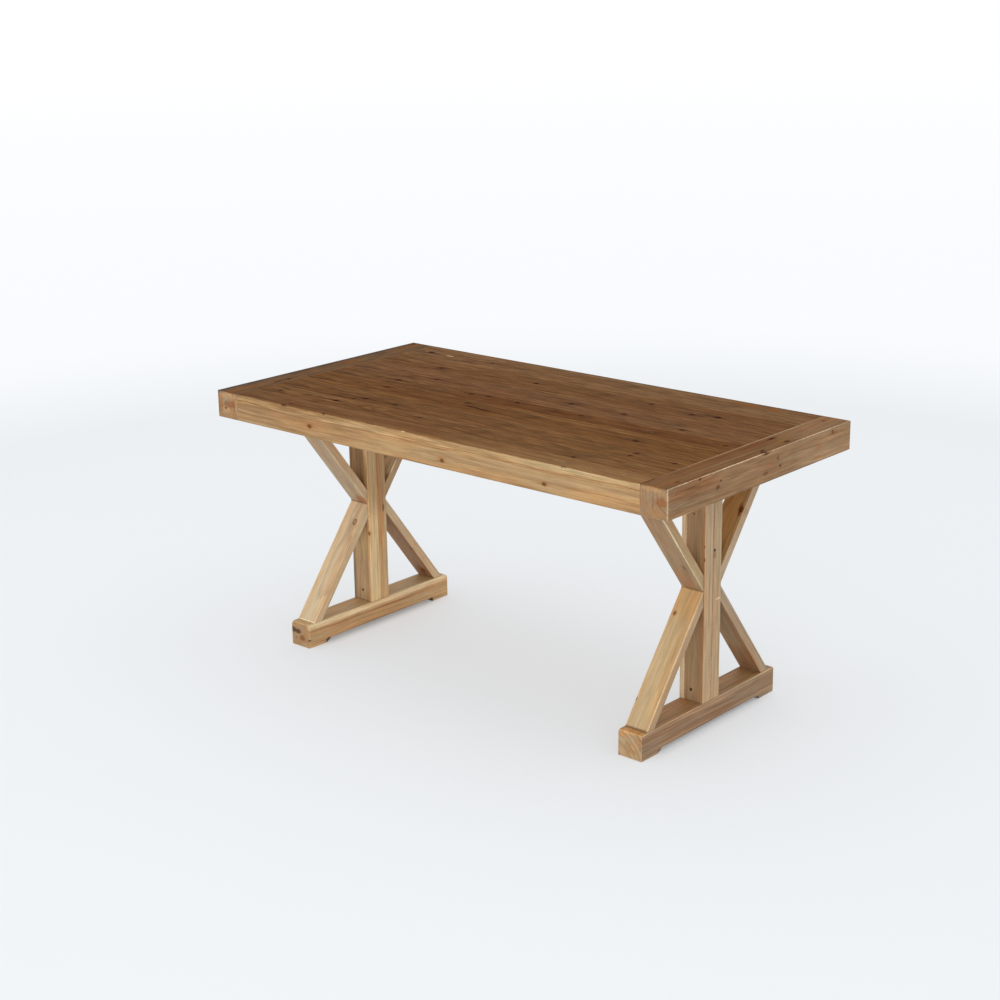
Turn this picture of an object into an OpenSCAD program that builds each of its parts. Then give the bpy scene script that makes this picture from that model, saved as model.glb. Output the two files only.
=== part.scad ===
// Pedestal dining table: a framed plank top on two pedestals.
// X runs along the top, Y across it from the front edge to the back, Z up.
// The origin is on the floor under the middle of the table.

/* [Top] */
// Length of the top
top_l = 1600; // [1400:10:2000]
// Height of the top above the floor
top_h = 775; // [720:5:900]
// Depth of the frame round the top
edge_h = 78; // [66:1:90]
// Thickness of the planks
plank_t = 22; // [20:1:26]
// Width of plank 1, at the front edge
plank_1_w = 70; // [60:1:110]
// Width of plank 2
plank_2_w = 85; // [60:1:120]
// Width of plank 3
plank_3_w = 100; // [60:1:130]
// Width of plank 4
plank_4_w = 105; // [60:1:130]
// Width of plank 5
plank_5_w = 72; // [60:1:120]
// Width of plank 6
plank_6_w = 126; // [60:1:150]
// Width of plank 7
plank_7_w = 132; // [60:1:150]
// Width of plank 8, at the back edge
plank_8_w = 120; // [60:1:150]
// Width of a breadboard end
end_w = 82; // [60:1:110]
// Length of the tongue on a plank's end
tongue_l = 20; // [12:1:30]
// Thickness of the tongue
tongue_t = 8; // [6:1:10]
// How far the groove stops short of a breadboard end's own ends
groove_stop = 30; // [20:1:40]

/* [Underside of the top] */
// Thickness of a side rail
rail_t = 38; // [28:1:45]
// Width of a batten
batten_w = 90; // [50:1:120]
// Thickness of a batten
batten_t = 22; // [18:1:30]
// Distance from one batten to the next, middle to middle
batten_step = 300; // [200:5:340]

/* [Pedestals] */
// Distance from an end of the top to the middle of its pedestal
overhang = 186; // [150:1:260]
// Length of a base beam and of a head rail
base_l = 600; // [520:5:650]
// Width of a base beam and of a head rail
base_w = 75; // [66:1:100]
// Height of a base beam
base_h = 72; // [60:1:100]
// Length of the flat pad at each end of a base beam
pad_l = 70; // [40:1:100]
// Height of the hollow between the pads
relief_h = 12; // [8:1:16]
// Length of the slope from a pad up to the hollow
relief_slope = 18; // [10:1:30]
// Radius at the ends of a base beam's upper edge
base_end_r = 8; // [2:1:20]
// Height of a head rail
head_h = 53; // [45:1:70]
// Width of a post along the table
post_w = 75; // [60:1:100]
// Thickness of each of the two staves of a post
stave_t = 37.5; // [35:0.5:45]
// Width of a brace along the table
brace_w = 70; // [56:1:90]
// Thickness of a brace
brace_t = 27; // [24:1:36]
// Distance from the end of a base beam to the outside of its brace
brace_inset = 24; // [12:1:40]
// Cut on the long edges of the visible timbers
ease = 2; // [1:0.5:4]

/* [Dowels] */
// Diameter of a dowel between a side rail and a breadboard end
rail_dowel_d = 10; // [8:1:12]
// Length of that dowel
rail_dowel_l = 60; // [40:2:70]
// Distance between the two dowels of a joint
rail_dowel_gap = 26; // [20:1:30]
// Diameter of a dowel in a brace's end
brace_dowel_d = 8; // [6:1:8]
// Length of that dowel
brace_dowel_l = 40; // [30:2:44]
// Distance between the two dowels in a brace's end
brace_dowel_gap = 36; // [24:1:40]

/* [Screws and bolts] */
// Diameter of a batten screw
batten_screw_d = 4; // [3.5:0.5:5]
// Length of a batten screw
batten_screw_l = 36; // [32:1:38]
// Diameter of a post screw
post_screw_d = 6; // [5:0.5:8]
// Length of a post screw
post_screw_l = 100; // [90:5:120]
// Distance of a post screw from the middle of the post, along the table
post_screw_x = 18; // [14:1:20]
// Depth of the hole that a post screw's head sits in, under the base beam
post_screw_sink = 10; // [6:1:14]
// Diameter of a stave screw
stave_screw_d = 4; // [3.5:0.5:5]
// Length of a stave screw
stave_screw_l = 56; // [46:1:60]
// Depth of the hole that a stave screw's head sits in
stave_screw_sink = 5; // [3:1:8]
// Distance from a post's foot to its lower stave screw
stave_screw_low = 33; // [26:1:60]
// Distance from a post's head to its upper stave screw
stave_screw_high = 110; // [60:1:180]
// Diameter of a top bolt
bolt_d = 8; // [6:1:10]
// Depth of the hole that a top bolt's head sits in
bolt_sink = 14; // [12:1:20]
// Distance from the middle of a head rail to its inner bolts
bolt_inner_y = 100; // [75:1:110]
// Distance from the middle of a head rail to its outer bolts
bolt_outer_y = 190; // [160:1:200]
// Length of a threaded insert
insert_l = 14; // [10:1:15]
// Thickness of a washer
washer_t = 1.6; // [1:0.2:2.5]

/* [Hidden] */
$fn = 48;

// Colours of the stained top, the clear finished softwood and the steel
stain = "#77553a";
pine_light = "#c09c6e";
pine_mid = "#a98357";
pine_pale = "#caa97c";
beech = "#d2b48a";
zinc = "#b9bcc0";

// Sides and ends
left = -1;
right = 1;
front = -1;
back = 1;
down = -1;
up = 1;

// Clearance round a dowel, a screw or a tongue in its hole
fit = 0.1;
// Clearance past the end of a dowel, a screw, a tongue or a batten
end_gap = 1;
// A cut runs this far past the face that it opens
over = 1;

// Levels and lengths of the top
plank_z = top_h - plank_t;
edge_z = top_h - edge_h;
field_x = top_l/2 - end_w;
plank_ws = [plank_1_w, plank_2_w, plank_3_w, plank_4_w, plank_5_w, plank_6_w, plank_7_w, plank_8_w];
plank_n = len(plank_ws);
function sum_to(v, n) = n <= 0 ? 0 : v[n - 1] + sum_to(v, n - 1);
top_w = sum_to(plank_ws, plank_n);
function plank_y(i) = sum_to(plank_ws, i) - top_w/2;
inner_y = top_w/2 - rail_t;
tongue_y = top_w/2 - groove_stop;

// Levels and places of a pedestal
pedestal_x = top_l/2 - overhang;
head_z = plank_z - head_h;
waist_z = (base_h + head_z)/2;
foot_y = base_l/2 - brace_inset;
brace_a = atan((foot_y - stave_t)/(waist_z - base_h));
brace_cut = brace_t/cos(brace_a);
// A foot dowel stands nearer the post than the middle of the cut, so that the slope covers it
foot_dowel_y = foot_y - brace_cut/2 - brace_dowel_l/2*tan(brace_a)/2;
waist_cut = brace_t/sin(brace_a);
waist_dowel_z = waist_cut/2 + brace_dowel_l/2/tan(brace_a)/2;
stave_screw_zs = [base_h + stave_screw_low, head_z - stave_screw_high];

// Screw and bolt heads
batten_head_d = batten_screw_d*2;
batten_head_h = 3;
post_head_d = post_screw_d*2;
post_head_h = 4;
stave_head_d = stave_screw_d*1.5;
stave_head_h = 2;
bolt_head_d = bolt_d*1.6;
bolt_head_h = bolt_d;
bolt_socket_d = bolt_d*0.85;
bolt_socket_h = bolt_d/2;
washer_d = bolt_d*2;
insert_d = bolt_d*1.5;
bolt_l = head_h - bolt_sink + washer_t + insert_l - end_gap;
bolt_ys = [-bolt_outer_y, -bolt_inner_y, bolt_inner_y, bolt_outer_y];
batten_xs = [-batten_step, 0, batten_step];
rail_dowel_zs = [for (s = [down, up]) (edge_z + plank_z)/2 + s*rail_dowel_gap/2];

// Outline of a timber from [a0, b0] to [a1, b1], with a cut e[i] on each corner, from the first one round
function eased(a0, a1, b0, b1, e) =
    let (p = [
        [a0, b0 + e[0]], [a0 + e[0], b0], [a1 - e[1], b0], [a1, b0 + e[1]],
        [a1, b1 - e[2]], [a1 - e[2], b1], [a0 + e[3], b1], [a0, b1 - e[3]]
    ])
    [for (i = [0:len(p) - 1]) if (p[i] != p[(i + 1) % len(p)]) p[i]];

// A timber that runs along X, with its outline in Y and Z
module along_x(l) { rotate([90, 0, 90]) linear_extrude(l, center = true) children(); }

// A timber that runs along Y, with its outline in X and Z
module along_y(l) { rotate([90, 0, 0]) linear_extrude(l, center = true) children(); }

// A block between two corners
module block(low, high) { translate(low) cube(high - low); }

// A hole or a rod of diameter d from point a, length l along Z
module rod_z(a, d, l) { translate(a) cylinder(d = d, h = l); }

// The same along X and along Y
module rod_x(a, d, l) { translate(a) rotate([0, 90, 0]) cylinder(d = d, h = l); }
module rod_y(a, d, l) { translate(a) rotate([-90, 0, 0]) cylinder(d = d, h = l); }

// A countersunk screw that starts at the origin and runs up. When it is a hole it has room all round it,
// and a straight part of depth sink below its head.
module screw(d, l, head_d, head_h, room = 0, sink = 0) {
    cylinder(d = d + 2*room, h = l + (room > 0 ? end_gap : 0));
    cylinder(d1 = head_d + 2*room, d2 = d + 2*room, h = head_h);
    if (room > 0) translate([0, 0, -sink - over]) cylinder(d = head_d + 2*room, h = sink + over);
}

// The left pedestal is the right one mirrored
module at_pedestal(side) {
    translate([side*pedestal_x, 0, 0]) mirror([side == left ? 1 : 0, 0, 0]) children();
}

// Places of the batten screws: one in each plank, in the middle of what shows between the side rails
function screw_y(i) = (max(plank_y(i), -inner_y) + min(plank_y(i + 1), inner_y))/2;
module at_batten_screws(xs) {
    for (x = xs, i = [0:plank_n - 1])
        translate([x, screw_y(i), plank_z - batten_t]) children();
}

// Places of the bolts that hold a head rail to the top, at the level of the planks' underside
module at_bolts() {
    for (side = [left, right], y = bolt_ys)
        translate([side*pedestal_x, y, plank_z]) children();
}

// The batten screws, with room round them when they are holes
module batten_screw_rods(xs, room) {
    at_batten_screws(xs) screw(batten_screw_d, batten_screw_l, batten_head_d, batten_head_h, room);
}

// Holes in the underside of the planks
module top_holes() {
    batten_screw_rods(batten_xs, fit);
    at_bolts() rod_z([0, 0, -over], insert_d + 2*fit, insert_l + end_gap + over);
}

// Dowels between the side rails and the breadboard ends, with room round them when they are holes
module rail_dowel_rods(room) {
    l = rail_dowel_l + (room > 0 ? 2*end_gap : 0);
    for (x = [-field_x, field_x], s = [front, back], z = rail_dowel_zs)
        rod_x([x - l/2, s*(top_w/2 - rail_t/2), z], rail_dowel_d + 2*room, l);
}

module plank(i) {
    y0 = plank_y(i);
    y1 = plank_y(i + 1);
    e_front = i == 0 ? ease : 0;
    e_back = i == plank_n - 1 ? ease : 0;
    tongue_z = plank_z + plank_t/2;
    color(stain) difference() {
        union() {
            along_x(2*field_x) polygon(eased(y0, y1, plank_z, top_h, [0, 0, e_back, e_front]));
            block([-field_x - tongue_l, max(y0, -tongue_y), tongue_z - tongue_t/2],
                  [field_x + tongue_l, min(y1, tongue_y), tongue_z + tongue_t/2]);
        }
        top_holes();
    }
}

module breadboard_end(side) {
    groove_z = plank_z + plank_t/2;
    x = side*(field_x + end_w/2);
    color(stain) difference() {
        translate([x, 0, 0]) along_y(top_w)
            polygon(eased(-end_w/2, end_w/2, edge_z, top_h, [
                side == left ? ease : 0, side == right ? ease : 0,
                side == right ? ease : 0, side == left ? ease : 0
            ]));
        translate([side*field_x, 0, 0])
            block([-tongue_l - end_gap, -tongue_y - fit, groove_z - tongue_t/2 - fit],
                  [tongue_l + end_gap, tongue_y + fit, groove_z + tongue_t/2 + fit]);
        rail_dowel_rods(fit);
    }
}

module side_rail(s) {
    y_out = s*top_w/2;
    y_in = s*inner_y;
    color(pine_light) difference() {
        along_x(2*field_x)
            polygon(eased(min(y_out, y_in), max(y_out, y_in), edge_z, plank_z, [
                s == front ? ease : 0, s == back ? ease : 0, 0, 0
            ]));
        rail_dowel_rods(fit);
    }
}

module rail_dowels() { color(beech) rail_dowel_rods(0); }

module batten(i) {
    color(pine_mid) difference() {
        translate([batten_xs[i], 0, 0])
            block([-batten_w/2, -inner_y + end_gap, plank_z - batten_t],
                  [batten_w/2, inner_y - end_gap, plank_z]);
        batten_screw_rods([batten_xs[i]], fit);
    }
}

module batten_screws() { color(zinc) batten_screw_rods(batten_xs, 0); }

// The dowels of one brace: two in its foot and two at the waist
module brace_dowel_rods(s, level, room) {
    l = brace_dowel_l + (room > 0 ? 2*end_gap : 0);
    d = brace_dowel_d + 2*room;
    end_z = level == down ? base_h : head_z;
    for (x = [-brace_dowel_gap/2, brace_dowel_gap/2]) {
        rod_z([x, s*foot_dowel_y, end_z - l/2], d, l);
        rod_y([x, s*stave_t - l/2, waist_z + level*waist_dowel_z], d, l);
    }
}

module all_brace_dowel_rods(room) {
    for (s = [front, back], level = [down, up]) brace_dowel_rods(s, level, room);
}

// The two screws that join the staves to the base beam, and the two that join them to the head rail
module post_screw_rods(room) {
    for (s = [front, back], level = [down, up]) {
        z = level == down ? relief_h + post_screw_sink : plank_z;
        translate([s*post_screw_x, s*stave_t/2, z]) mirror([0, 0, level == up ? 1 : 0])
            screw(post_screw_d, post_screw_l, post_head_d, post_head_h, room, level == down ? z : 0);
    }
}

// The two screws that clamp one stave to the other
module stave_screw_rods(room) {
    for (z = stave_screw_zs)
        translate([0, -stave_t + stave_screw_sink, z]) rotate([-90, 0, 0])
            screw(stave_screw_d, stave_screw_l, stave_head_d, stave_head_h, room, stave_screw_sink);
}

module base_outline() {
    half = base_l/2;
    difference() {
        translate([-half, 0]) square([base_l, base_h]);
        for (s = [front, back]) translate([s*(half - base_end_r), base_h - base_end_r]) difference() {
            translate([s > 0 ? 0 : -base_end_r - over, 0]) square(base_end_r + over);
            circle(base_end_r);
        }
        polygon([
            [-half + pad_l, -over], [-half + pad_l, 0], [-half + pad_l + relief_slope, relief_h],
            [half - pad_l - relief_slope, relief_h], [half - pad_l, 0], [half - pad_l, -over]
        ]);
    }
}

module base(side) {
    color(pine_mid) at_pedestal(side) difference() {
        intersection() {
            along_x(base_w + 2*over) base_outline();
            along_y(base_l + 2*over) polygon(eased(-base_w/2, base_w/2, -over, base_h, [0, 0, ease, ease]));
        }
        all_brace_dowel_rods(fit);
        post_screw_rods(fit);
    }
}

module head_rail(side) {
    color(pine_mid) at_pedestal(side) difference() {
        block([-base_w/2, -base_l/2, head_z], [base_w/2, base_l/2, plank_z]);
        all_brace_dowel_rods(fit);
        post_screw_rods(fit);
        for (y = bolt_ys) {
            rod_z([0, y, head_z - over], bolt_d + 2*fit, head_h + 2*over);
            rod_z([0, y, head_z - over], washer_d + 2*fit, bolt_sink + over);
        }
    }
}

module post_stave(side, s) {
    y0 = s == front ? -stave_t : 0;
    color(pine_pale) at_pedestal(side) difference() {
        translate([0, 0, base_h]) linear_extrude(head_z - base_h)
            polygon(eased(-post_w/2, post_w/2, y0, y0 + stave_t,
                s == front ? [ease, ease, 0, 0] : [0, 0, ease, ease]));
        all_brace_dowel_rods(fit);
        post_screw_rods(fit);
        stave_screw_rods(fit);
    }
}

// A brace leans from the end of the base beam, or of the head rail, to the waist of the post
module brace(side, s, level) {
    reach = base_l + top_h;
    color(pine_light) at_pedestal(side) difference() {
        translate([0, 0, waist_z]) mirror([0, 0, level == up ? 1 : 0]) mirror([0, s == front ? 1 : 0, 0])
            intersection() {
                translate([0, stave_t, 0]) rotate([brace_a, 0, 0])
                    translate([0, 0, -reach]) linear_extrude(2*reach)
                        polygon(eased(-brace_w/2, brace_w/2, -brace_t, 0, [ease, ease, ease, ease]));
                block([-brace_w, stave_t, base_h - waist_z], [brace_w, base_l, reach]);
            }
        brace_dowel_rods(s, level, fit);
    }
}

module brace_dowels(side) { color(beech) at_pedestal(side) all_brace_dowel_rods(0); }

module post_screws(side) { color(zinc) at_pedestal(side) post_screw_rods(0); }

module stave_screws(side) { color(zinc) at_pedestal(side) stave_screw_rods(0); }

// A socket head bolt, with its head in the hole under the head rail
module top_bolts() {
    seat = -head_h + bolt_sink - washer_t;
    color(zinc) at_bolts() difference() {
        union() {
            rod_z([0, 0, seat - bolt_head_h], bolt_head_d, bolt_head_h);
            rod_z([0, 0, seat], bolt_d, bolt_l);
        }
        translate([0, 0, seat - bolt_head_h - over]) cylinder(d = bolt_socket_d, h = bolt_socket_h + over, $fn = 6);
    }
}

module top_washers() {
    color(zinc) at_bolts() translate([0, 0, -head_h + bolt_sink - washer_t]) difference() {
        cylinder(d = washer_d, h = washer_t);
        rod_z([0, 0, -over], bolt_d + 2*fit, washer_t + 2*over);
    }
}

module top_inserts() {
    color(zinc) at_bolts() difference() {
        cylinder(d = insert_d, h = insert_l);
        rod_z([0, 0, -over], bolt_d + 2*fit, insert_l + 2*over);
    }
}

plank(0);  // plank_1
plank(1);  // plank_2
plank(2);  // plank_3
plank(3);  // plank_4
plank(4);  // plank_5
plank(5);  // plank_6
plank(6);  // plank_7
plank(7);  // plank_8
breadboard_end(left);  // breadboard_end_left
breadboard_end(right);  // breadboard_end_right
side_rail(front);  // side_rail_front
side_rail(back);  // side_rail_back
rail_dowels();
batten(0);  // batten_left
batten(1);  // batten_middle
batten(2);  // batten_right
batten_screws();
base(left);  // base_left
head_rail(left);  // head_rail_left
post_stave(left, front);  // post_stave_front_left
post_stave(left, back);  // post_stave_back_left
brace(left, front, down);  // brace_lower_front_left
brace(left, back, down);  // brace_lower_back_left
brace(left, front, up);  // brace_upper_front_left
brace(left, back, up);  // brace_upper_back_left
brace_dowels(left);  // brace_dowels_left
post_screws(left);  // post_screws_left
stave_screws(left);  // stave_screws_left
base(right);  // base_right
head_rail(right);  // head_rail_right
post_stave(right, front);  // post_stave_front_right
post_stave(right, back);  // post_stave_back_right
brace(right, front, down);  // brace_lower_front_right
brace(right, back, down);  // brace_lower_back_right
brace(right, front, up);  // brace_upper_front_right
brace(right, back, up);  // brace_upper_back_right
brace_dowels(right);  // brace_dowels_right
post_screws(right);  // post_screws_right
stave_screws(right);  // stave_screws_right
top_bolts();
top_washers();
top_inserts();
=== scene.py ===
import math

import bmesh
import bpy
from mathutils import Matrix, Vector, noise


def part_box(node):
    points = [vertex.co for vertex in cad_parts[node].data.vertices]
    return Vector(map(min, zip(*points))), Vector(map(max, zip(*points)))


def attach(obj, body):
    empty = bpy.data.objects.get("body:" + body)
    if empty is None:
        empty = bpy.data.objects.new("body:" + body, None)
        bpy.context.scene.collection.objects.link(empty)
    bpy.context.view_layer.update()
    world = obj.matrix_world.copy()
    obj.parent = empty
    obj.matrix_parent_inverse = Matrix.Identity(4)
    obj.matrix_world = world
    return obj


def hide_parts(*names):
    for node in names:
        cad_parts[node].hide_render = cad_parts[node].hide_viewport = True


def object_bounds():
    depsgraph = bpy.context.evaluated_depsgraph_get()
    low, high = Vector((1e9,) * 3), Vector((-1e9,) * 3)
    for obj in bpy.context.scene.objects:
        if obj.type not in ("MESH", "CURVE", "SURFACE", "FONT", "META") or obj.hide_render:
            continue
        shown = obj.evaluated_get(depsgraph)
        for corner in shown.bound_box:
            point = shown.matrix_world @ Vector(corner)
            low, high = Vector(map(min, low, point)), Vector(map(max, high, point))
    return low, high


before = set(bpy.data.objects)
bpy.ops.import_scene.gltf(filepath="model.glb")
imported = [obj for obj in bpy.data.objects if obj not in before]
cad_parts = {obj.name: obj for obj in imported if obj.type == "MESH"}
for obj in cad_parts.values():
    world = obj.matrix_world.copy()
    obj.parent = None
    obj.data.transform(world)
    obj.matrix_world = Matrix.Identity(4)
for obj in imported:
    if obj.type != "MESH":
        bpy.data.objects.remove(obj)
cad_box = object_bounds()

MM = 0.001

# Sides, as signs along X, Y and Z
LEFT, RIGHT = -1, 1
FRONT, BACK = -1, 1
LOWER, UPPER = -1, 1
SIDE_NAMES = {LEFT: "left", RIGHT: "right"}
DEPTH_NAMES = {FRONT: "front", BACK: "back"}
LEVEL_NAMES = {LOWER: "lower", UPPER: "upper"}

# Camera: the photograph's place, direction and field of view
CAMERA_AT = (3.2226, -3.7207, 2.0098)
CAMERA_YAW, CAMERA_PITCH, CAMERA_ROLL = -41.604, 17.042, -0.873
CAMERA_FOCAL_PX = 1840.1
IMAGE_PX = 1000
SENSOR_MM = 36.0

# Measures that the frame's boxes don't give
BRACE_T = 27 * MM
TONGUE_T = 8 * MM
TONGUE_L = 20 * MM
GROOVE_STOP = 30 * MM
FIT = 0.1 * MM
SCREW_HOLE_R = 3.1 * MM
SCREW_HOLE_DEPTH = 5 * MM
POST_HOLE_R = 6.1 * MM
POST_HOLE_TOP = 22 * MM
POST_HOLE_X = 18 * MM
RELIEF_H = 12 * MM
PAD_L = 70 * MM
RELIEF_SLOPE = 18 * MM
STAVE_SCREW_Z = (105 * MM, 590 * MM)
STAVE_T = 37.5 * MM
BOLT_Y = (100 * MM, 190 * MM)
INSERT_R = 6.1 * MM
INSERT_HOLE_L = 15 * MM
TOP_Z = cad_box[1][2]

# Rounding of the timbers' edges, and dents along the front edge as (x, length, depth), in millimetres
SEAM_R = 0.5
BRACE_END_R = 0.5
STAVE_END_R = 0.6
GLUED_R = 0.7
OUTER_R = 1.2
EDGE_R = 1.9
FRONT_CHIPS = ((-520, 12, 2.2), (-360, 9, 1.8), (484, 10, 2.0), (-58, 7, 1.2))

# How finely the timbers are made, in steps or in millimetres, the angle in degrees from which an edge is
# sharp, and how far the faces waver, in millimetres
ARC_STEPS = 3
END_STEPS = 4
FLAT_STEP = 30
LENGTH_STEP = 16
SHARP_ANGLE = 32
WOBBLE = 0.12
ROD_SIDES = 24

# Where a mark starts to fade and where it is gone, as shares of its half sizes
MARK_FADE = (0.55, 1.15)

# Painted shade, as a mark's half sizes and tint: darker lines where braces and posts meet other wood, partly
# grime, a painted shadow under the top's rim at the upper braces' feet and painted shade in and round the
# screw holes
JOINT_SHADE = (3.5, 60, 7, 0.53, 0.47, 0.44)
RIM_SHADE = (7, 60, 40, 0.53, 0.47, 0.44)
POST_SHADE = (3, 60, 60, 0.56, 0.5, 0.47)
HOLE_SHADE = (4.6, 4.6, 16, 0.1, 0.08, 0.07)

# Knots: how far the grain round one, its core and the dark tail beside it are drawn out, and their tints
KNOT_STRETCH = 2.3
CORE_STRETCH = 1.25
TAIL_STRETCH = 9.0
TAIL_NARROW = 1.25
KNOT_SQUASH = {"across": (1 / KNOT_STRETCH, 0, 1), "deep": (1 / KNOT_STRETCH, 1, 0)}
KNOT_HALO = (0.7, 0.52, 0.42)
KNOT_TAIL = (0.36, 0.28, 0.25)
KNOT_LIGHT = (0.5, 0.3, 0.24)
KNOT_DARK = (0.22, 0.11, 0.08)
KNOT_RIM = (0.16, 0.08, 0.06)
FAR_OFF = 1e6

# The stained top is oiled and nearly matt, and its stain ends unevenly at the arris
OILED = dict(gloss=0.01, rough=0.62)
STAIN_EDGE = 8 * MM
STAIN_FROM, STAIN_FULL = (TOP_Z + 0.4 * STAIN_EDGE - depth * MM for depth in (1.4, 0.4))

# Studio
WHITE = (1, 1, 1, 1)
FLOOR_RADIUS = 300
FLOOR_COLOUR = (0.905, 0.945, 0.96, 1)
FLOOR_CLOUD = 0.985
FAR_COLOUR = (0.95, 0.97, 1.0, 1)
FLOOR_NEAR, FLOOR_FAR, FLOOR_WHITE = 1.6, 5.0, 25.0
FLOOR_LIFT = 0.48
BASE_X, BASE_SHADE, BASE_SHADE_X, BASE_SHADE_Y = 0.614, 0.6, (0.03, 0.07), (0.2, 0.3)
AMBIENT_LOW, AMBIENT_HIGH = 0.92, 0.72
AMBIENT_COLOUR = (0.97, 0.985, 1.0, 1)
# Softboxes: name, place, target, size in metres, watts, colour
SOFTBOXES = (
    ("key_right", (3.0, -4.2, 1.8), (0, 0, 0.5), (3.2, 2.4), 34, (1.0, 0.99, 0.97)),
    ("key_left", (-1.5, -4.8, 2.4), (0, 0, 0.5), (3.0, 2.4), 18, (1.0, 1.0, 1.0)),
    ("overhead", (0, 0.5, 4.5), (0, 0, 0.5), (5.0, 4.0), 25, (1.0, 1.0, 1.0)),
)


# Camera

def camera_matrix(at, yaw, pitch, roll):
    y, p, r = (math.radians(v) for v in (yaw, pitch, roll))
    forward = Vector((math.sin(y) * math.cos(p), math.cos(y) * math.cos(p), -math.sin(p)))
    right = Vector((math.cos(y), -math.sin(y), 0))
    up = right.cross(forward)
    rolled_right = math.cos(r) * right + math.sin(r) * up
    rolled_up = -math.sin(r) * right + math.cos(r) * up
    turn = Matrix((rolled_right, rolled_up, -forward)).transposed()
    return Matrix.Translation(at) @ turn.to_4x4()


def add_camera():
    data = bpy.data.cameras.new("camera")
    data.sensor_width = SENSOR_MM
    data.lens = CAMERA_FOCAL_PX / IMAGE_PX * SENSOR_MM
    cam = add_object("camera", data)
    cam.matrix_world = camera_matrix(CAMERA_AT, CAMERA_YAW, CAMERA_PITCH, CAMERA_ROLL)
    bpy.context.scene.camera = cam


def add_object(name, data):
    made = bpy.data.objects.new(name, data)
    bpy.context.collection.objects.link(made)
    return made


# Node helpers

class Wire:
    """What a socket gives: a number, vector or colour. Arithmetic on it adds the nodes that work it out."""

    def __init__(self, tree, socket):
        self.tree, self.socket = tree, socket

    def __add__(self, other):
        return self.tree.calc("ADD", self, other)

    def __sub__(self, other):
        return self.tree.calc("SUBTRACT", self, other)

    def __mul__(self, other):
        return self.tree.calc("MULTIPLY", self, other)

    def __truediv__(self, other):
        return self.tree.calc("DIVIDE", self, other)

    def __abs__(self):
        return self.tree.calc("ABSOLUTE", self)


def is_number(value):
    return value.socket.type == "VALUE" if isinstance(value, Wire) else isinstance(value, (int, float))


class Tree:
    """Adds nodes to a node tree."""

    def __init__(self, tree):
        self.tree = tree
        self.tree.nodes.clear()

    def put(self, socket, value):
        if isinstance(value, Wire):
            self.tree.links.new(value.socket, socket)
        else:
            socket.default_value = value

    def node(self, kind, values=None, **settings):
        """A new node, with values put into its sockets by name or number."""
        n = self.tree.nodes.new(kind)
        for key, value in settings.items():
            setattr(n, key, value)
        for socket, value in (values or {}).items():
            self.put(n.inputs[socket], value)
        return n

    def add(self, kind, output, values=None, **settings):
        """Adds a node and gives one of its outputs."""
        return Wire(self, self.node(kind, values, **settings).outputs[output])

    def wires(self, node):
        return {output.name: Wire(self, output) for output in node.outputs}

    def calc(self, operation, *values):
        """Adds a math node, one for vectors where the first value isn't a number."""
        kind, output, sockets = "ShaderNodeMath", 0, range(3)
        if not is_number(values[0]):
            kind = "ShaderNodeVectorMath"
            output = "Value" if operation in ("DOT_PRODUCT", "LENGTH") else "Vector"
            if operation == "MULTIPLY" and is_number(values[1]):
                operation, sockets = "SCALE", (0, "Scale")
        return self.add(kind, output, dict(zip(sockets, values)), operation=operation)

    def parts(self, vector):
        return [Wire(self, output) for output in self.node("ShaderNodeSeparateXYZ", {0: vector}).outputs]

    def join(self, *numbers):
        return self.add("ShaderNodeCombineXYZ", 0, dict(enumerate(numbers)))

    def noise(self, vector, scale=1.0, detail=2.0, rough=0.5, output="Fac"):
        values = {"Vector": vector, "Scale": scale, "Detail": detail, "Roughness": rough}
        return self.add("ShaderNodeTexNoise", output, values, noise_dimensions="3D")

    def wander(self, vector, detail, rough):
        """A vector that strays to all sides of zero, by up to half."""
        return self.noise(vector, 1.0, detail, rough, "Color") - (0.5, 0.5, 0.5)

    def step(self, value, low, high, to_low=0.0, to_high=1.0):
        """A smooth step from to_low at low to to_high at high."""
        values = {"Value": value, "From Min": low, "From Max": high, "To Min": to_low, "To Max": to_high}
        return self.add("ShaderNodeMapRange", 0, values, interpolation_type="SMOOTHSTEP")

    def mix(self, factor, a, b):
        return self.add("ShaderNodeMix", "Result", {"Factor": factor, "A": a, "B": b}, data_type="RGBA")

    def tint(self, factor, colour, tint):
        """A colour, multiplied by a tint as far as the factor says."""
        return self.mix(factor, colour, colour * tint)


def new_group(name, inputs, outputs):
    """An empty node group, its tree and what it is given."""
    group = bpy.data.node_groups.new(name, "ShaderNodeTree")
    for kind, sockets in (("INPUT", inputs), ("OUTPUT", outputs)):
        for socket, form in sockets.items():
            group.interface.new_socket(socket, in_out=kind, socket_type="NodeSocket" + form)
    t = Tree(group)
    return group, t, t.wires(t.node("NodeGroupInput"))


# Wood

def make_knot_group():
    """One knot. Offset bends the grain round it like water round a post, Reach is 1 at its rim, and Tail is 1
    at the rim of the dark tail beside it."""
    inputs = dict(Coord="Vector", Centre="Vector", Squash="Vector", Radius="Float")
    group, t, given = new_group("knot", inputs, dict(Offset="Vector", Reach="Float", Tail="Float"))
    w = (given["Coord"] - given["Centre"]) * given["Squash"]
    reach = t.calc("LENGTH", w) / given["Radius"]
    pull = t.calc("DIVIDE", -1.0, t.calc("MAXIMUM", reach * reach, 1.0))
    core = t.calc("LENGTH", w * (KNOT_STRETCH / CORE_STRETCH, 1, 1))
    tail = t.calc("LENGTH", w * (KNOT_STRETCH / TAIL_STRETCH, TAIL_NARROW, TAIL_NARROW))
    t.node("NodeGroupOutput", {"Offset": w * (0, 1, 1) * pull, "Reach": core / given["Radius"],
                               "Tail": tail / given["Radius"]})
    return group


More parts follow.
